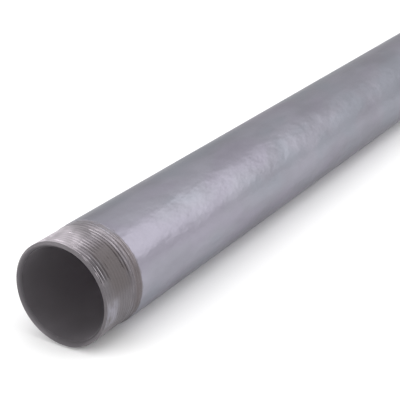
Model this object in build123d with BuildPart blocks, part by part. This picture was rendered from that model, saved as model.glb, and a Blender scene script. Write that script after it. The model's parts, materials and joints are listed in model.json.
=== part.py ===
from build123d import *

import os
from math import radians, tan

# One length of rigid steel conduit, trade size 3 (metric 78), hot-dip galvanized and threaded at
# both ends. It is one rolled and welded tube, so it is one solid.
# It lies on the floor along X, with its near end at -X, and the origin is on the floor under the
# middle of its length, with +Z up. All lengths are in millimetres.

# The tube
OUTER_DIAMETER = 88.9
WALL = 5.2
LENGTH = 3010.0

# The tapered pipe thread that is cut on both ends, 8 turns to the inch
THREAD_PITCH = 3.175
THREAD_LENGTH = 45.8  # from the end face to where the last turn leaves the surface
RUN_OUT_LENGTH = 9.1  # the stretch of it, next to the body, where the turns grow shallower
CREST_DROP = 1.05  # depth of the crests below the body's surface, the same all along
THREAD_HEIGHT_SHARE = 0.8  # height of the first turn, as a share of the pitch
THREAD_TAPER_SHARE = 1 / 16  # growth of the root diameter, as a share of the distance from the end

# The edges of each end
CHAMFER_SHARE = 0.7  # depth of the outer chamfer, as a share of the height of the first turn
CHAMFER_ANGLE = 45.0  # measured from the axis
REAM_SHARE = 0.4  # depth of the reamed inner edge, as a share of the rim that is left there
REAM_ANGLE = 40.0  # measured from the axis

# Radii, measured from the conduit's own axis
body_radius = OUTER_DIAMETER / 2
bore_radius = body_radius - WALL
crest_radius = body_radius - CREST_DROP
first_turn_height = THREAD_PITCH * THREAD_HEIGHT_SHARE
full_thread_length = THREAD_LENGTH - RUN_OUT_LENGTH
last_turn_height = first_turn_height - full_thread_length * THREAD_TAPER_SHARE / 2
# The turns are stood for by a smooth cone halfway between their crests and their roots, so that
# the end has its real volume. The crests lie on one diameter, and the roots taper.
thread_near_radius = crest_radius - first_turn_height / 2
thread_far_radius = crest_radius - last_turn_height / 2
thread_slope = (thread_far_radius - thread_near_radius) / full_thread_length
rim_outer_radius = crest_radius - first_turn_height * CHAMFER_SHARE
ream_depth = (rim_outer_radius - bore_radius) * REAM_SHARE
rim_inner_radius = bore_radius + ream_depth

# Distances from the end face, along the axis
ream_length = ream_depth / tan(radians(REAM_ANGLE))
chamfer_depth = thread_near_radius - rim_outer_radius
chamfer_length = chamfer_depth / (tan(radians(CHAMFER_ANGLE)) - thread_slope)

# The same profile in the upright plane through the axis, from the near end to the middle
axis_height = body_radius
near_end = -LENGTH / 2
bore_top = axis_height + bore_radius
body_top = axis_height + body_radius
chamfer_top = axis_height + thread_near_radius + chamfer_length * thread_slope
full_thread_top = axis_height + thread_far_radius

conduit_axis = Axis((0, 0, axis_height), (1, 0, 0))

with BuildPart() as conduit:
    # The wall's section above the axis: bore, reamed edge, rim, chamfer, tapered thread,
    # run-out and body, then the same again at the far end.
    with BuildSketch(Plane.XZ) as wall_section:
        with BuildLine() as wall_outline:
            near_half = Polyline(
                (0, bore_top),
                (near_end + ream_length, bore_top),
                (near_end, axis_height + rim_inner_radius),
                (near_end, axis_height + rim_outer_radius),
                (near_end + chamfer_length, chamfer_top),
                (near_end + full_thread_length, full_thread_top),
                (near_end + THREAD_LENGTH, body_top),
                (0, body_top),
            )
            mirror(near_half, about=Plane.YZ)
        make_face()
    revolve(axis=conduit_axis)

conduit.part.label = "conduit"

os.makedirs("parts", exist_ok=True)
export_step(conduit.part, "parts/conduit.step")
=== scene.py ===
import json
import math

import bmesh
import bpy
from mathutils import Matrix, Vector, noise


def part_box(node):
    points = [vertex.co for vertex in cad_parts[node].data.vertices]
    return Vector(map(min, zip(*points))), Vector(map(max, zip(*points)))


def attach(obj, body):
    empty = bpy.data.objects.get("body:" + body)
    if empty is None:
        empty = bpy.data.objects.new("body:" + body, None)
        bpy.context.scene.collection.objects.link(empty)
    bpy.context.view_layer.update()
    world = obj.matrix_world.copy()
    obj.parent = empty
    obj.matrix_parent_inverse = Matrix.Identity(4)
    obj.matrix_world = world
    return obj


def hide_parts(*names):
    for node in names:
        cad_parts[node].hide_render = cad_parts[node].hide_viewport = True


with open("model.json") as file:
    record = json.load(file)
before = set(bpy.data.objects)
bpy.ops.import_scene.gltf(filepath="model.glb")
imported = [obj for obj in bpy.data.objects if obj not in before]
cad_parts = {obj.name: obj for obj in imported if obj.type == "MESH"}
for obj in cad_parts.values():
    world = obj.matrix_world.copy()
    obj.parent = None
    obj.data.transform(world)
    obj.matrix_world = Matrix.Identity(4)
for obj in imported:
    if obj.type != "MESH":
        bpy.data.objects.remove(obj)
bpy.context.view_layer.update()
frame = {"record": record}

bl_info = {
    "name": "Galvanized Steel Conduit",
    "version": (1, 0, 0),
    "blender": (4, 5, 0),
    "location": "View3D > Sidebar > Conduit",
    "description": "A threaded length of galvanized steel conduit, and a plain studio to show it in",
    "category": "Add Mesh",
}

# What the frame says, in metres. The conduit lies along X with its near end at -X.
LOW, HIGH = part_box("conduit")
MOUNTS = {mount["name"]: mount for mount in frame["record"]["mounts"]}
MILLIMETRE = 0.001
LENGTH = HIGH.x - LOW.x
OUTER_RADIUS = (HIGH.z - LOW.z) / 2
BORE_RADIUS = MOUNTS["bore"]["dims"]["r_mm"] * MILLIMETRE
THREAD_LENGTH = (LENGTH - MOUNTS["body"]["dims"]["length_mm"] * MILLIMETRE) / 2
AXIS_HEIGHT = LOW.z + OUTER_RADIUS
AXIS_POINT = Vector((0.0, 0.0, AXIS_HEIGHT))
FULL_TURN = 2 * math.pi

# The mesh attribute that holds each point's depth below the crests of the turns
GROOVE = "groove"

# Material slots of the tube's mesh, in order
ZINC, THREAD, RIM, BORE = range(4)


class ThreadSizes(bpy.types.PropertyGroup):
    """The tapered pipe thread and the edges of each end."""

    pitch: bpy.props.FloatProperty(
        name="Pitch", description="Distance from one turn to the next",
        default=3.175 * MILLIMETRE, subtype="DISTANCE", unit="LENGTH", precision=5)
    flank_angle: bpy.props.FloatProperty(
        name="Flank angle", description="Angle between a flank of the turns and a plane across the tube",
        default=math.radians(30), subtype="ANGLE", unit="ROTATION")
    flat_share: bpy.props.FloatProperty(
        name="Flats", description="Width of the flat on each crest and root, as a share of the pitch",
        default=0.12)
    crest_drop: bpy.props.FloatProperty(
        name="Crest drop", description="Depth of the crests below the body's surface",
        default=1.05 * MILLIMETRE, subtype="DISTANCE", unit="LENGTH", precision=5)
    taper: bpy.props.FloatProperty(
        name="Taper", description="Growth of the roots' diameter for each unit of length", default=1 / 16)
    shoulder_start: bpy.props.FloatProperty(
        name="Shoulder", description="Distance from the end face to where the crests start to rise",
        default=35.6 * MILLIMETRE, subtype="DISTANCE", unit="LENGTH", precision=5)
    shoulder_angle: bpy.props.FloatProperty(
        name="Shoulder angle", description="Angle to the axis at which the crests rise to the body",
        default=math.radians(9), subtype="ANGLE", unit="ROTATION")
    coat_step: bpy.props.FloatProperty(
        name="Coat step", description="Depth of the last turn below the body's zinc coat",
        default=0.2 * MILLIMETRE, subtype="DISTANCE", unit="LENGTH", precision=5)
    run_out_angle: bpy.props.FloatProperty(
        name="Run-out angle", description="Angle to the axis at which the roots of the last turns rise",
        default=math.radians(11), subtype="ANGLE", unit="ROTATION")
    die_offset: bpy.props.FloatProperty(
        name="Die offset", description="Distance of the thread's axis from the tube's, as the die ran",
        default=0.45 * MILLIMETRE, subtype="DISTANCE", unit="LENGTH", precision=5)
    die_angle: bpy.props.FloatProperty(
        name="Die direction", description="Direction of that offset, turned about X from straight up",
        default=math.radians(-45), subtype="ANGLE", unit="ROTATION")
    chamfer_angle: bpy.props.FloatProperty(
        name="Chamfer angle", description="Angle of the outer chamfer to the axis",
        default=math.radians(45), subtype="ANGLE", unit="ROTATION")
    ream_angle: bpy.props.FloatProperty(
        name="Ream angle", description="Angle of the reamed inner edge to the axis",
        default=math.radians(40), subtype="ANGLE", unit="ROTATION")
    rim_drop: bpy.props.FloatProperty(
        name="Rim drop", description="Depth of the flat ring's outer edge below the body's surface",
        default=2.45 * MILLIMETRE, subtype="DISTANCE", unit="LENGTH", precision=5)
    rim_width: bpy.props.FloatProperty(
        name="Rim width", description="Width of the flat ring left between the reamed edge and the chamfer",
        default=0.25 * MILLIMETRE, subtype="DISTANCE", unit="LENGTH", precision=5)
    lead_width: bpy.props.FloatProperty(
        name="Lead width", description="Width of the uncut land between the chamfer and the first groove",
        default=0.9 * MILLIMETRE, subtype="DISTANCE", unit="LENGTH", precision=5)
    clog_share: bpy.props.FloatProperty(
        name="Clogging",
        description="Share of the grooves' depth that dried dirt fills where it is thickest",
        default=0.9)
    clean_angle: bpy.props.FloatProperty(
        name="Clean side",
        description="Where the grooves are free of dirt, turned about X from straight up",
        default=math.radians(38), subtype="ANGLE", unit="ROTATION")
    caked_angle: bpy.props.FloatProperty(
        name="Caked side",
        description="Where a film cakes the middle turns, turned about X from straight up",
        default=math.radians(50), subtype="ANGLE", unit="ROTATION")
    patch_size: bpy.props.FloatProperty(
        name="Dirt patches", description="Size of the patches in which the dirt fills the grooves unevenly",
        default=7.0 * MILLIMETRE, subtype="DISTANCE", unit="LENGTH", precision=5)
    start_angle: bpy.props.FloatProperty(
        name="Start", description="Where a crest meets the end face, turned about X from straight up",
        default=0.0, subtype="ANGLE", unit="ROTATION")


class FinishColours(bpy.types.PropertyGroup):
    """The colours of the coat, the bare cut steel and the dirt on it."""

    zinc: bpy.props.FloatVectorProperty(
        name="Zinc", description="Main colour of the zinc coat", default=(0.302, 0.296, 0.341),
        subtype="COLOR", min=0, max=1)
    cut_steel: bpy.props.FloatVectorProperty(
        name="Cut steel", description="Main colour of the bare thread", default=(0.205, 0.188, 0.203),
        subtype="COLOR", min=0, max=1)
    dust: bpy.props.FloatVectorProperty(
        name="Dust", description="Colour of the dull dust in the grooves", default=(0.30, 0.278, 0.30),
        subtype="COLOR", min=0, max=1)
    film: bpy.props.FloatVectorProperty(
        name="Film", description="Colour of the dull brown film on the turns", default=(0.17, 0.143, 0.142),
        subtype="COLOR", min=0, max=1)
    rim: bpy.props.FloatVectorProperty(
        name="Rim", description="Colour of the sawn end face", default=(0.112, 0.102, 0.111),
        subtype="COLOR", min=0, max=1)
    bore: bpy.props.FloatVectorProperty(
        name="Bore", description="Colour of the coat inside the bore", default=(0.60, 0.56, 0.60),
        subtype="COLOR", min=0, max=1)


class StudioSettings(bpy.types.PropertyGroup):
    """The floor, the light and the camera."""

    lens: bpy.props.FloatProperty(
        name="Lens", description="Focal length on a 36 mm sensor, in millimetres", default=102.2)
    sky_light: bpy.props.FloatProperty(
        name="Sky", description="Strength of the even light all round", default=0.89)
    panel_light: bpy.props.FloatProperty(
        name="Side panel", description="Brightness of the large soft light at the side", default=1.32)
    fill_light: bpy.props.FloatProperty(
        name="Fill panel", description="Brightness of the soft light square to the thread", default=2.5)
    back_light: bpy.props.FloatProperty(
        name="Back panel", description="Brightness of the soft light at the near end", default=3.0)
    top_light: bpy.props.FloatProperty(
        name="Top panel", description="Brightness of the soft light overhead", default=1.0)
    camera_place: bpy.props.FloatVectorProperty(
        name="Camera place",
        description="The camera, from the middle of the near end face, in radii of the tube",
        default=(-13.284, -10.969, 9.131), subtype="XYZ", precision=4)
    camera_direction: bpy.props.FloatVectorProperty(
        name="Camera direction", description="The direction in which the camera looks",
        default=(0.7822, 0.4812, -0.3957), subtype="XYZ", precision=4)
    floor: bpy.props.FloatVectorProperty(
        name="Floor", description="Colour of the plain floor", default=(0.88, 0.88, 0.88),
        subtype="COLOR", min=0, max=1)


class Value:
    """One output of a material's nodes. Sums, products and the like of values add Math nodes."""

    def __init__(self, finish, socket):
        self.finish = finish
        self.socket = socket

    def math(self, operation, *inputs):
        return self.finish.node("ShaderNodeMath", {"operation": operation}, dict(enumerate(inputs)))

    def __add__(self, other):
        return self.math("ADD", self, other)

    def __sub__(self, other):
        return self.math("SUBTRACT", self, other)

    def __rsub__(self, other):
        return self.math("SUBTRACT", other, self)

    def __mul__(self, other):
        return self.math("MULTIPLY", self, other)

    __radd__ = __add__
    __rmul__ = __mul__

    def ramp(self, low, high):
        """0 below low, 1 above high and a smooth step between them."""
        return self.finish.node(
            "ShaderNodeMapRange", {"interpolation_type": "SMOOTHSTEP"},
            {"Value": self, "From Min": low, "From Max": high})


class Finish:
    """A material and its nodes."""

    def __init__(self, name):
        self.material = bpy.data.materials.new(name)
        self.material.use_nodes = True
        self.tree = self.material.node_tree
        self.shader = self.tree.nodes["Principled BSDF"]
        self.place = self.node("ShaderNodeTexCoord", {}, {}, "Object")

    def connect(self, node, key, value):
        """Sets the node's input of that name or number, or links it to a value."""
        if isinstance(key, int):
            found = node.inputs[key]
        else:
            found = next(s for s in node.inputs if s.enabled and s.name == key)
        if isinstance(value, Value):
            self.tree.links.new(value.socket, found)
        elif found.type == "RGBA":
            found.default_value = (*value, 1.0)
        else:
            found.default_value = value

    def node(self, kind, settings, inputs, output=None):
        """Adds a node: its settings first, then its inputs. Gives its named or first enabled output."""
        made = self.tree.nodes.new(kind)
        for key, value in settings.items():
            setattr(made, key, value)
        for key, value in inputs.items():
            self.connect(made, key, value)
        return Value(self, next(s for s in made.outputs if s.enabled and output in (None, s.name)))

    def set(self, key, value):
        self.connect(self.shader, key, value)

    def stretched(self, x=1.0, y=1.0, z=1.0):
        """The place on the object, measured from the middle of the axis, times x, y and z."""
        centred = self.node(
            "ShaderNodeVectorMath", {"operation": "SUBTRACT"}, {0: self.place, 1: AXIS_POINT})
        return self.node(
            "ShaderNodeMapping", {"vector_type": "POINT"}, {"Vector": centred, "Scale": (x, y, z)})

    def depth(self):
        """The place's depth below the body's surface."""
        across = self.stretched(x=0.0)
        return OUTER_RADIUS - self.node("ShaderNodeVectorMath", {"operation": "LENGTH"}, {0: across})

    def from_end(self):
        """The place's distance from the nearer end face."""
        along = self.node("ShaderNodeSeparateXYZ", {}, {"Vector": self.place}, "X")
        return LENGTH / 2 - along.math("ABSOLUTE", along)

    def groove(self):
        """The place's depth below the crests of the turns."""
        return self.node(
            "ShaderNodeAttribute", {"attribute_type": "GEOMETRY", "attribute_name": GROOVE}, {}, "Fac")

    def side(self, angle):
        """1 on the side of the tube at that angle, in degrees about X from straight up, -1 opposite."""
        outward = self.node(
            "ShaderNodeVectorMath", {"operation": "NORMALIZE"}, {0: self.stretched(x=0.0)})
        return self.node(
            "ShaderNodeVectorMath", {"operation": "DOT_PRODUCT"},
            {0: outward, 1: outward_at(math.radians(angle))})

    def facing(self, angle, spread):
        """1 on one side of the tube and 0 on the rest of it.

        angle is where its middle is, in degrees about X from straight up. spread holds the cosines of
        the angles from there at which it is gone and full.
        """
        return self.side(angle).ramp(*spread)

    def between(self, start=(), end=(), longer=0.0):
        """1 on a stretch near each end of the tube and 0 on the rest of it.

        start and end hold the distances from the end face, in millimetres, over which it fades in and
        out. longer is a length in metres, which may vary, by which it is longer at each of them.
        """
        from_end = self.from_end()
        mask = 1.0
        if start:
            mask = mask * (from_end + longer).ramp(*(place * MILLIMETRE for place in start))
        if end:
            mask = mask * (1 - (from_end - longer).ramp(*(place * MILLIMETRE for place in end)))
        return mask

    def noise(self, place, scale, detail, roughness):
        """Cloudy noise around 0.5. A higher scale makes it finer, and detail adds finer clouds."""
        return self.node(
            "ShaderNodeTexNoise", {},
            {"Vector": place, "Scale": scale, "Detail": detail, "Roughness": roughness})

    def mix(self, share, first, second):
        """The first colour at share 0 and the second at share 1."""
        return self.node(
            "ShaderNodeMix", {"data_type": "RGBA", "blend_type": "MIX"},
            {"Factor": share, "A": first, "B": second})

    def layered(self, tone, layers):
        """The tone under its layers, from the bottom up, each with its mask, strength and colour."""
        for mask, strength, colour in layers:
            tone = self.mix(mask * strength, tone, colour)
        return tone

    def bump(self, height, distance, normal=None):
        """A relief of that height times that distance, on top of another one if its normal is given."""
        inputs = {"Height": height, "Distance": distance, "Strength": 1.0}
        if normal is not None:
            inputs["Normal"] = normal
        return self.node("ShaderNodeBump", {}, inputs)


def outward_at(angle):
    """The direction straight out from the axis at that angle, turned about X from straight up."""
    return Matrix.Rotation(angle, 3, "X") @ Vector((0.0, 0.0, 1.0))


def tinted(colour, factors):
    """The colour with each of its parts made lighter or darker by its own factor."""
    return tuple(min(1.0, part * factor) for part, factor in zip(colour, factors))


def shaded(colour, factor):
    """The colour made lighter or darker."""
    return tinted(colour, (factor, factor, factor))


def zinc_coat(colour, steel_colour):
    """The smooth dull coat of the body, softly mottled and slightly wavy, and ragged at the threads."""
    finish = Finish("zinc_coat")
    drawn_out = finish.stretched(x=0.35)
    clouds = finish.noise(drawn_out, scale=34.0, detail=4.0, roughness=0.55)
    patches = finish.noise(drawn_out, scale=90.0, detail=3.0, roughness=0.5)
    tints = finish.noise(finish.stretched(x=0.5), scale=22.0, detail=2.0, roughness=0.5)
    drifts = finish.noise(finish.stretched(x=0.25), scale=14.0, detail=3.0, roughness=0.6)
    waves = finish.noise(finish.stretched(x=0.6), scale=30.0, detail=4.0, roughness=0.55)
    grain = finish.noise(finish.place, scale=900.0, detail=2.0, roughness=0.6)

    dark_cloud = shaded(colour, 0.92)
    light_cloud = shaded(colour, 1.08)
    light_drift = shaded(colour, 1.10)
    light_patch = shaded(colour, 1.12)
    greener = tinted(colour, (0.95, 1.03, 1.02))
    pinker = tinted(colour, (1.03, 0.97, 1.03))

    # Where the coat is torn next to the thread, the steel below it shows. The coat sets in softly
    # between these two distances from the ragged border.
    bare_until = -0.5 * MILLIMETRE
    coated_from = 0.6 * MILLIMETRE
    tear_length = 1.8 * MILLIMETRE
    bare_steel = shaded(steel_colour, 0.8)
    tears = finish.noise(finish.stretched(), scale=190.0, detail=3.0, roughness=0.6)
    border = THREAD_LENGTH + tears.ramp(0.40, 0.75) * tear_length
    bare = 1 - (finish.from_end() - border).ramp(bare_until, coated_from)

    tone = finish.layered(finish.mix(clouds.ramp(0.35, 0.65), dark_cloud, light_cloud), (
        (drifts.ramp(0.45, 0.65), 0.5, light_drift),
        (patches.ramp(0.45, 0.75), 0.4, light_patch),
        (tints.ramp(0.50, 0.62), 0.5, greener),
        ((1 - tints).ramp(0.50, 0.62), 0.5, pinker),
        (bare, 0.6, bare_steel),
    ))

    wave_height = 2.2 * MILLIMETRE
    grain_height = 0.01 * MILLIMETRE
    finish.set("Base Color", tone)
    finish.set("Metallic", 1.0 - bare * 0.4)
    finish.set("Specular Tint", (0.65, 0.65, 0.65))
    finish.set("Roughness", 0.24 + clouds * 0.16 + grain * 0.05)
    finish.set("Normal", finish.bump(grain, grain_height, finish.bump(waves, wave_height)))
    return finish.material


def cut_thread(colour, dust_colour, film_colour, coat_colour):
    """The turns: bare cut steel that is bright on its crests, with dust in the grooves, a brown film,
    splashes of zinc and ragged zinc. Over that are painted highlights on top, on the last ridges and as
    glints near the rim, and painted shade on the dull side, in a band at the side and underneath."""
    finish = Finish("cut_thread")
    turned = finish.noise(finish.stretched(x=60.0), scale=30.0, detail=3.0, roughness=0.6)
    scratches = finish.noise(finish.stretched(x=190.0), scale=30.0, detail=2.0, roughness=0.5)
    blotches = finish.noise(finish.stretched(x=1.5), scale=110.0, detail=3.0, roughness=0.55)
    smears = finish.noise(finish.stretched(x=0.5), scale=60.0, detail=3.0, roughness=0.55)
    ragged = finish.noise(finish.stretched(), scale=150.0, detail=4.0, roughness=0.65)

    # Depths below the crests
    crest_depth = 0.05 * MILLIMETRE
    flank_depth = 0.25 * MILLIMETRE
    clean_depth = 0.4 * MILLIMETRE
    dusty_depth = 1.3 * MILLIMETRE
    groove = finish.groove()
    edges = 1 - groove.ramp(crest_depth, flank_depth)
    bottoms = groove.ramp(clean_depth, dusty_depth)

    # The zinc that is left where the die cut least deep, with a ragged border
    zinc_depth = 0.95 * MILLIMETRE
    zinc_raggedness = 1.2 * MILLIMETRE
    zinc_border = 0.12 * MILLIMETRE
    coat = (zinc_depth - finish.depth() - ragged * zinc_raggedness).ramp(0.0, zinc_border)

    # The marks on the sides and stretches of the thread: the steel's own film, splash and wear, and painted
    # highlights and painted shade
    film_raggedness = 14.0 * MILLIMETRE
    highlight_slant = 30.0 * MILLIMETRE
    uneven = blotches * film_raggedness
    slant = finish.side(-70) * highlight_slant
    film = finish.facing(54, spread=(0.80, 0.97))
    film = film * finish.between(start=(14.0, 22.0), end=(24.0, 30.0), longer=uneven)
    # A painted highlight over the top of the thread, lighter there because of how the light falls
    painted_top_highlight = finish.facing(-12, spread=(0.82, 0.95)) * finish.between(end=(8.0, 22.0), longer=slant)
    # The dull side: rougher, less metallic steel, whose darker colour is painted shade
    dull = finish.facing(80, spread=(0.55, 0.85)) * finish.between(start=(1.8, 4.0), end=(29.0, 33.0))
    # A band of painted shade on the side of the thread
    shaded_band = finish.facing(62, spread=(0.90, 0.985)) * finish.between(start=(1.5, 3.0), end=(34.5, 37.0))
    # Painted highlights on the crests of the last ridges, on the side where the light catches them
    ridge_highlights = finish.facing(22, spread=(0.80, 0.97)) * finish.between(start=(32.5, 34.0), end=(39.5, 41.5))
    aged = finish.facing(75, spread=(0.60, 0.85))
    last_turns = aged * finish.between(start=(37.0, 40.5))
    # Painted shade on the underside of the thread, deeper on the last turns
    below = finish.facing(118, spread=(0.45, 0.85)) * finish.between(start=(8.0, 24.0))
    underside_shade_late = below * finish.between(start=(28.0, 33.0))
    splash = finish.facing(100, spread=(0.95, 0.995)) * finish.between(end=(11.0, 20.0))
    splash = splash * blotches.ramp(0.25, 0.50)
    glints = finish.facing(46, spread=(0.93, 0.99)) * finish.between(end=(6.0, 11.0))
    glints = glints * edges * blotches.ramp(0.35, 0.5)
    crests = edges * (1 - dull * 0.85) * (1 - painted_top_highlight * 0.7) * (1 - film * 0.8)

    # The colours of the layers. The ridge, top and glint tones are painted highlights, and the dull side,
    # band and underside tones are painted shade
    dark_streak = shaded(colour, 0.86)
    light_streak = shaded(colour, 1.14)
    scratched = shaded(colour, 1.35)
    worn_crest = shaded(colour, 1.5)
    ridge_highlight_tone = shaded(colour, 2.0)
    top_highlight_tone = shaded(colour, 2.8)
    light_smear = shaded(colour, 1.35)
    dark_smear = shaded(colour, 0.65)
    dull_side_shade = shaded(colour, 0.66)
    shaded_band_tone = shaded(colour, 0.5)
    underside_shade = shaded(colour, 0.5)
    brown = shaded(film_colour, 0.6)
    old_film = shaded(film_colour, 0.8)
    glint = shaded(colour, 2.4)
    tone = finish.layered(finish.mix(turned.ramp(0.3, 0.7), dark_streak, light_streak), (
        (scratches.ramp(0.50, 0.72), 0.5, scratched),
        (crests * blotches.ramp(0.35, 0.6), 1.0, worn_crest),
        (ridge_highlights * edges, 0.3, ridge_highlight_tone),
        (bottoms * (1 - ridge_highlights), 0.8, dust_colour),
        (painted_top_highlight, 0.9, top_highlight_tone),
        (smears.ramp(0.50, 0.70), 0.4, light_smear),
        ((1 - smears).ramp(0.50, 0.70), 0.3, dark_smear),
        (dull, 0.8, dull_side_shade),
        (shaded_band, 0.6, shaded_band_tone),
        (below * 0.4 + underside_shade_late * 0.25, 1.0, underside_shade),
        (film, 0.65, brown),
        (coat * (0.7 - aged * 0.5), 1.0, coat_colour),
        (last_turns, 0.5, old_film),
        (splash, 0.6, coat_colour),
        (glints, 0.7, glint),
    ))

    blotch_height = 0.06 * MILLIMETRE
    streak_height = 0.03 * MILLIMETRE
    rough = finish.bump(blotches, blotch_height)
    finish.set("Base Color", tone)
    finish.set("Metallic", (1.0 - film * 0.3 - bottoms * 0.6) * (1 - dull * 0.6))
    finish.set("Roughness", 0.36 + turned * 0.12 + film * 0.2 + dull * 0.15 - crests * 0.14)
    finish.set("Normal", finish.bump(turned * 0.6 + scratches * 0.4, streak_height, rough))
    return finish.material


def sawn_rim(colour):
    """The dull end face, with the fine marks of the saw and the reamer."""
    finish = Finish("sawn_rim")
    mark_height = 0.02 * MILLIMETRE
    dark_mark = shaded(colour, 0.85)
    light_mark = shaded(colour, 1.15)
    marks = finish.noise(finish.stretched(z=8.0), scale=220.0, detail=3.0, roughness=0.6)
    finish.set("Base Color", finish.mix(marks.ramp(0.3, 0.7), dark_mark, light_mark))
    finish.set("Metallic", 0.35)
    finish.set("Roughness", 0.5 + marks * 0.12)
    finish.set("Normal", finish.bump(marks, mark_height))
    return finish.material


def bore_coat(colour):
    """The rougher, darker coat inside the tube, with painted shade near its ends and along its bottom, and
    the reamed edge, whose painted shade fades towards the rim's tone at the end face."""
    finish = Finish("bore_coat")
    from_end = finish.from_end()
    lumps = finish.noise(finish.stretched(x=0.4), scale=70.0, detail=3.0, roughness=0.5)

    # Painted shade near the end face, fading out by this depth, where the coat takes its full tone
    shade_gone_at = 110.0 * MILLIMETRE
    dirt_and_shade = shaded(colour, 0.45)
    clean = shaded(colour, 0.95)
    lump = shaded(colour, 0.6)
    bottom = shaded(colour, 0.2)
    # Painted shade along the bottom of the bore
    low = finish.facing(145, spread=(0.50, 0.95))

    # Painted shade on the reamed edge, darkest at its inner end and on its underside, and near the rim's
    # tone at the end face
    ream_end = 2.85 * MILLIMETRE
    bore_start = 3.15 * MILLIMETRE
    darkest_at = 2.9 * MILLIMETRE
    darkest = shaded(colour, 0.05)
    reamed = 1 - from_end.ramp(ream_end, bore_start)
    mouthward = 1 - from_end.ramp(0.0, darkest_at)
    under = finish.facing(175, spread=(0.80, 0.98))
    ream_shade = 0.70 + under * 0.06 - mouthward * (0.40 - under * 0.24)

    tone = finish.layered(finish.mix(from_end.ramp(0.0, shade_gone_at), dirt_and_shade, clean), (
        (lumps.ramp(0.3, 0.7), 0.3, lump),
        (low, 0.3, bottom),
        (reamed * ream_shade, 1.0, darkest),
    ))

    lump_height = 0.1 * MILLIMETRE
    finish.set("Base Color", tone)
    finish.set("Metallic", 0.9)
    finish.set("Roughness", 0.62 + lumps * 0.1)
    finish.set("Normal", finish.bump(lumps, lump_height))
    return finish.material


def whole(bm):
    """All of the mesh, as the operators take it."""
    return bm.verts[:] + bm.edges[:] + bm.faces[:]


def only(kind, geometry):
    """The vertices, edges or faces among what an operator gives."""
    return [part for part in geometry if isinstance(part, kind)]


def outward_of(vert):
    """The way from the axis straight out to the vertex."""
    outward = vert.co - AXIS_POINT
    outward.x = 0.0
    return outward


def move_vert(vert, position, radius):
    """Moves the vertex to that place along the axis and that distance from it, on its own angle."""
    vert.co = AXIS_POINT + outward_of(vert).normalized() * radius
    vert.co.x = position


def open_loop(bm, position):
    """The open edges of the mesh that lie in the plane at that place along the axis."""
    tolerance = 0.01 * MILLIMETRE
    return [
        edge for edge in bm.edges
        if edge.is_boundary and all(abs(vert.co.x - position) < tolerance for vert in edge.verts)
    ]


def grow_ring(bm, edges, position, radius, slot):
    """Adds a band of faces from the open loop to a new ring, and gives the ring's edges."""
    made = bmesh.ops.extrude_edge_only(bm, edges=edges)["geom"]
    for vert in only(bmesh.types.BMVert, made):
        move_vert(vert, position, radius)
    for face in only(bmesh.types.BMFace, made):
        face.material_index = slot
    return [edge for edge in only(bmesh.types.BMEdge, made) if edge.is_boundary]


def grow_rings(bm, edges, start, end, count, radius, slot):
    """Adds rings at equal steps from start to end, and gives the last ring's edges."""
    for k in range(1, count + 1):
        edges = grow_ring(bm, edges, start + (end - start) * k / count, radius, slot)
    return edges


def turn_height(sizes):
    """The height of the first turn: half a pitch less one flat is the width of a flank."""
    return sizes.pitch * (0.5 - sizes.flat_share) / math.tan(sizes.flank_angle)


def sweep_thread(bm, sizes, segments):
    """The plain helical sheet of the turns: one tooth, repeated along the axis and swept one full turn."""
    pitch = sizes.pitch
    crest = OUTER_RADIUS - sizes.crest_drop
    half_flat = sizes.flat_share / 2
    flank_width = 0.5 - sizes.flat_share
    flank_points = 5
    spare_turns = 2
    merge = 0.02 * MILLIMETRE

    # The tooth's points, as shares of the pitch along the axis and of the height down from its crest
    steps = [k / (flank_points - 1) for k in range(flank_points)]
    down = [(half_flat + flank_width * step, step) for step in steps]
    up = [(1.0 - share, depth) for share, depth in reversed(down)]
    start = LOW.x - spare_turns * pitch
    top = AXIS_HEIGHT + crest
    tooth = [
        bm.verts.new((start + share * pitch, 0.0, top - depth * turn_height(sizes)))
        for share, depth in [*down, *up, (1.0 + half_flat, 0.0)]
    ]
    row = tooth + [bm.edges.new(pair) for pair in zip(tooth, tooth[1:])]
    teeth = math.ceil(THREAD_LENGTH / pitch) + 2 * spare_turns
    for _ in range(teeth - 1):
        row = bmesh.ops.duplicate(bm, geom=row)["geom"]
        bmesh.ops.translate(bm, verts=only(bmesh.types.BMVert, row), vec=(pitch, 0.0, 0.0))
    bmesh.ops.remove_doubles(bm, verts=bm.verts, dist=merge)
    bmesh.ops.rotate(
        bm, verts=bm.verts, cent=AXIS_POINT, matrix=Matrix.Rotation(sizes.start_angle, 3, "X"))

    # Each turn of the sweep ends one pitch further on, where the next tooth's sheet begins
    bmesh.ops.spin(
        bm, geom=bm.verts[:] + bm.edges[:], cent=AXIS_POINT, axis=(1.0, 0.0, 0.0),
        dvec=(pitch / segments, 0.0, 0.0), angle=FULL_TURN, steps=segments, use_merge=False)
    bmesh.ops.remove_doubles(bm, verts=bm.verts, dist=merge)


def trim(bm, position, keep_after):
    """Cuts the mesh square across at that place along the axis."""
    bmesh.ops.bisect_plane(
        bm, geom=whole(bm), plane_co=(position, 0.0, 0.0), plane_no=(1.0, 0.0, 0.0),
        clear_inner=keep_after, clear_outer=not keep_after)


def smooth_step(value, low, high):
    """0 below low, 1 above high and a smooth step between them."""
    share = min(1.0, max(0.0, (value - low) / (high - low)))
    return share * share * (3 - 2 * share)


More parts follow.
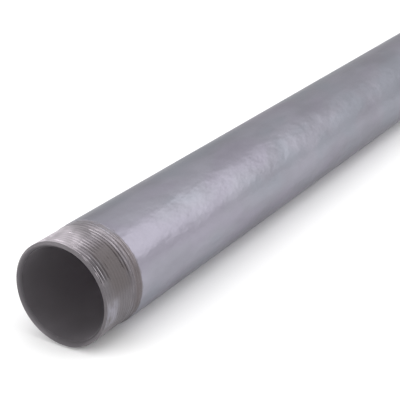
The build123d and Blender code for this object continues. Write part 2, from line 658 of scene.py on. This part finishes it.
def dirt_share(place, along, clean, caked, sizes):
    """How full of dirt the grooves are at a place, from 0 to 1.

    along is its distance from the end face. clean and caked are the cosines of its angles from the
    middle of the clean side and of the caked side.
    """
    caked_start = (8 * MILLIMETRE, 17 * MILLIMETRE)
    caked_end = (28 * MILLIMETRE, 34 * MILLIMETRE)
    caked_spread = (0.90, 0.98)
    fullness = 1.05
    unevenness = 0.3

    # The clean side is wider on the last turns before the shoulder
    last_turns = 1.5
    clogged_end = sizes.shoulder_start - last_turns * sizes.pitch
    late = smooth_step(along, clogged_end, clogged_end + sizes.pitch)
    clean_spread = (0.88 - 0.08 * late, 0.975 - 0.035 * late)
    dirt_and_shade = 1 - smooth_step(clean, *clean_spread)
    film = smooth_step(caked, *caked_spread)
    film *= smooth_step(along, *caked_start)
    film *= 1 - smooth_step(along, *caked_end)
    patches = noise.noise(place / sizes.patch_size)
    return min(1.0, max(0.0, max(dirt_and_shade, film) * fullness + patches * unevenness))


def taper_thread(bm, sizes, rim_radius):
    """Gives the straight turns their taper, the chamfer at the rim, the run-out at the body and the
    dirt in their grooves."""
    slope = sizes.taper / 2
    shoulder_slope = math.tan(sizes.shoulder_angle)
    run_out_slope = math.tan(sizes.run_out_angle)
    chamfer_slope = math.tan(sizes.chamfer_angle)
    flank_slope = 1 / math.tan(sizes.flank_angle)
    height = turn_height(sizes)
    steel_radius = OUTER_RADIUS - sizes.coat_step
    clean_side = outward_at(sizes.clean_angle)
    caked_side = outward_at(sizes.caked_angle)
    die_shift = outward_at(sizes.die_angle) * sizes.die_offset
    groove = bm.verts.layers.float[GROOVE]
    for vert in bm.verts:
        along = vert.co.x - LOW.x
        outward = outward_of(vert)
        side = outward.normalized()
        shift = side.dot(die_shift)
        root_rise = steel_radius - (THREAD_LENGTH - along) * run_out_slope
        shoulder = max(0.0, along - sizes.shoulder_start) * shoulder_slope
        crest = min(steel_radius, OUTER_RADIUS - sizes.crest_drop + shift + shoulder)
        land_end = (crest - rim_radius) / chamfer_slope + sizes.lead_width
        lead_in = crest - max(0.0, along - land_end) * flank_slope
        turned = max(outward.length + along * slope + shift, root_rise, lead_in)
        dirt_and_shade = dirt_share(vert.co, along, side.dot(clean_side), side.dot(caked_side), sizes)
        filled = crest - height * (1 - dirt_and_shade * sizes.clog_share)
        radius = min(max(turned, filled), crest, rim_radius + along * chamfer_slope)
        move_vert(vert, LOW.x + along, radius)
        vert[groove] = crest - radius


def build_tube(sizes):
    """One closed tube: both threads, both rims, the body and the bore."""
    segments = 216
    body_rings = 24
    bore_rings = 10
    rim_finish_share = 0.7  # share of the first land that is finished like the rim
    crease = math.radians(25)

    rim_radius = OUTER_RADIUS - sizes.rim_drop
    mouth_radius = rim_radius - sizes.rim_width
    chamfer_length = (sizes.rim_drop - sizes.crest_drop) / math.tan(sizes.chamfer_angle)
    rim_finish_end = LOW.x + chamfer_length + sizes.lead_width * rim_finish_share
    body_start = LOW.x + THREAD_LENGTH
    coat_start = body_start + sizes.coat_step
    bore_start = LOW.x + (mouth_radius - BORE_RADIUS) / math.tan(sizes.ream_angle)
    near_half_end = -LENGTH / (4 * body_rings)  # short of the middle by half a band of the body

    bm = bmesh.new()
    bm.verts.layers.float.new(GROOVE)
    sweep_thread(bm, sizes, segments)
    trim(bm, LOW.x, True)
    trim(bm, body_start, False)
    taper_thread(bm, sizes, rim_radius)
    for face in bm.faces:
        on_rim = face.calc_center_median().x < rim_finish_end
        face.material_index = RIM if on_rim else THREAD

    outer_ring = grow_ring(bm, open_loop(bm, body_start), coat_start, OUTER_RADIUS, ZINC)
    outer_ring = grow_rings(bm, outer_ring, body_start, near_half_end, body_rings, OUTER_RADIUS, ZINC)
    mouth_ring = grow_ring(bm, open_loop(bm, LOW.x), LOW.x, mouth_radius, RIM)
    bore_ring = grow_ring(bm, mouth_ring, bore_start, BORE_RADIUS, BORE)
    bore_ring = grow_rings(bm, bore_ring, bore_start, near_half_end, bore_rings, BORE_RADIUS, BORE)

    # The far half is the near half turned end for end
    copied = bmesh.ops.duplicate(bm, geom=whole(bm))
    far_half = only(bmesh.types.BMVert, copied["geom"])
    half_turn = Matrix.Rotation(math.pi, 3, "Z")
    bmesh.ops.rotate(bm, verts=far_half, cent=(0.0, 0.0, 0.0), matrix=half_turn)
    far_edges = copied["edge_map"]
    for near_ring, slot in ((outer_ring, ZINC), (bore_ring, BORE)):
        far_ring = [far_edges[edge] for edge in near_ring]
        for face in bmesh.ops.bridge_loops(bm, edges=near_ring + far_ring)["faces"]:
            face.material_index = slot
    bmesh.ops.recalc_face_normals(bm, faces=bm.faces)

    for face in bm.faces:
        face.smooth = True
    for edge in bm.edges:
        edge.smooth = edge.calc_face_angle(0.0) < crease
    return bm


class CONDUIT_OT_add_tube(bpy.types.Operator):
    """Add the conduit: a galvanized tube with a cut thread on each end"""

    bl_idname = "conduit.add_tube"
    bl_label = "Add Conduit"

    def execute(self, context):
        colours = context.scene.conduit_colours
        bm = build_tube(context.scene.conduit_thread)
        mesh = bpy.data.meshes.new("conduit_tube")
        bm.to_mesh(mesh)
        bm.free()
        mesh.materials.append(zinc_coat(colours.zinc, colours.cut_steel))
        mesh.materials.append(cut_thread(colours.cut_steel, colours.dust, colours.film, colours.zinc))
        mesh.materials.append(sawn_rim(colours.rim))
        mesh.materials.append(bore_coat(colours.bore))
        tube = bpy.data.objects.new("conduit_tube", mesh)
        context.scene.collection.objects.link(tube)
        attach(tube, "root")
        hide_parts("conduit")
        return {"FINISHED"}


def add_floor(scene, colour):
    """Adds the plain floor, which isn't part of the conduit."""
    half_width = 30.0
    bm = bmesh.new()
    bmesh.ops.create_grid(bm, x_segments=1, y_segments=1, size=half_width)
    mesh = bpy.data.meshes.new("studio_floor")
    bm.to_mesh(mesh)
    bm.free()
    paint = Finish("floor_paint")
    paint.set("Base Color", colour)
    paint.set("Roughness", 0.9)
    mesh.materials.append(paint.material)
    floor = bpy.data.objects.new("studio_floor", mesh)
    scene.collection.objects.link(floor)


def add_sky(scene, strength):
    """Adds the even white light all round."""
    world = bpy.data.worlds.new("studio_sky")
    world.use_nodes = True
    sky = world.node_tree.nodes["Background"]
    sky.inputs["Color"].default_value = (1.0, 1.0, 1.0, 1.0)
    sky.inputs["Strength"].default_value = strength
    scene.world = world


def add_panel(scene, name, centre, aim, size, brightness):
    """Adds a soft panel light, size metres wide and high, that shines from centre at aim."""
    data = bpy.data.lights.new(name, "AREA")
    data.shape = "RECTANGLE"
    data.size, data.size_y = size
    data.energy = brightness * math.pi * data.size * data.size_y
    light = bpy.data.objects.new(name, data)
    scene.collection.objects.link(light)
    light.location = centre
    light.rotation_euler = (centre - aim).to_track_quat("Z", "Y").to_euler()
    light.visible_camera = False


def add_lights(scene, studio):
    """Adds the four soft lights, placed in metres from the middle of the near end face."""
    near_face = Vector((LOW.x, 0.0, AXIS_HEIGHT))
    beside = Vector((0.0, -0.695, 0.719)) * 1.6 + near_face
    beyond_end = Vector((-1.46, 1.06, 0.84)) + near_face
    to_body = Vector((1.8, 0.0, 0.0))
    to_thread = Vector((0.2, 0.0, 0.0))
    ahead = Vector((0.5, 0.0, 0.0))
    above = Vector((0.0, 0.0, 3.0))
    side_size = (1.1, 1.9)
    fill_size = (0.5, 1.7)
    back_size = (2.5, 1.15)
    top_size = (3.0, 3.0)
    add_panel(scene, "side_panel", beside + to_body, near_face + to_body, side_size, studio.panel_light)
    add_panel(scene, "fill_panel", beside + to_thread, near_face, fill_size, studio.fill_light)
    add_panel(scene, "back_panel", beyond_end, near_face, back_size, studio.back_light)
    add_panel(scene, "top_panel", near_face + ahead + above, near_face + ahead, top_size, studio.top_light)


def add_camera(scene, studio):
    """Adds the camera at the photo's viewpoint."""
    data = bpy.data.cameras.new("photo_camera")
    data.lens = studio.lens
    camera = bpy.data.objects.new("photo_camera", data)
    scene.collection.objects.link(camera)
    near_face = Vector((LOW.x, 0.0, AXIS_HEIGHT))
    camera.location = near_face + Vector(studio.camera_place) * OUTER_RADIUS
    camera.rotation_euler = Vector(studio.camera_direction).to_track_quat("-Z", "Y").to_euler()
    scene.camera = camera


class CONDUIT_OT_set_stage(bpy.types.Operator):
    """Add the plain floor, the soft light and the camera"""

    bl_idname = "conduit.set_stage"
    bl_label = "Set Stage"

    def execute(self, context):
        scene = context.scene
        studio = scene.conduit_studio
        add_floor(scene, studio.floor)
        add_sky(scene, studio.sky_light)
        add_lights(scene, studio)
        add_camera(scene, studio)
        scene.view_settings.view_transform = "Standard"
        return {"FINISHED"}


class CONDUIT_PT_panel(bpy.types.Panel):
    """The conduit's sizes, colours and stage"""

    bl_idname = "CONDUIT_PT_panel"
    bl_label = "Conduit"
    bl_space_type = "VIEW_3D"
    bl_region_type = "UI"
    bl_category = "Conduit"

    def draw(self, context):
        layout = self.layout
        for group in ("conduit_thread", "conduit_colours", "conduit_studio"):
            settings = getattr(context.scene, group)
            box = layout.box()
            for key in settings.bl_rna.properties.keys():
                if key not in ("name", "rna_type"):
                    box.prop(settings, key)
        layout.operator("conduit.add_tube")
        layout.operator("conduit.set_stage")


CLASSES = (
    ThreadSizes, FinishColours, StudioSettings, CONDUIT_OT_add_tube, CONDUIT_OT_set_stage,
    CONDUIT_PT_panel,
)


def register():
    for cls in CLASSES:
        bpy.utils.register_class(cls)
    bpy.types.Scene.conduit_thread = bpy.props.PointerProperty(type=ThreadSizes)
    bpy.types.Scene.conduit_colours = bpy.props.PointerProperty(type=FinishColours)
    bpy.types.Scene.conduit_studio = bpy.props.PointerProperty(type=StudioSettings)


def unregister():
    del bpy.types.Scene.conduit_studio
    del bpy.types.Scene.conduit_colours
    del bpy.types.Scene.conduit_thread
    for cls in reversed(CLASSES):
        bpy.utils.unregister_class(cls)


def main():
    register()
    bpy.ops.conduit.add_tube()
    bpy.ops.conduit.set_stage()


if __name__ == "__main__":
    main()
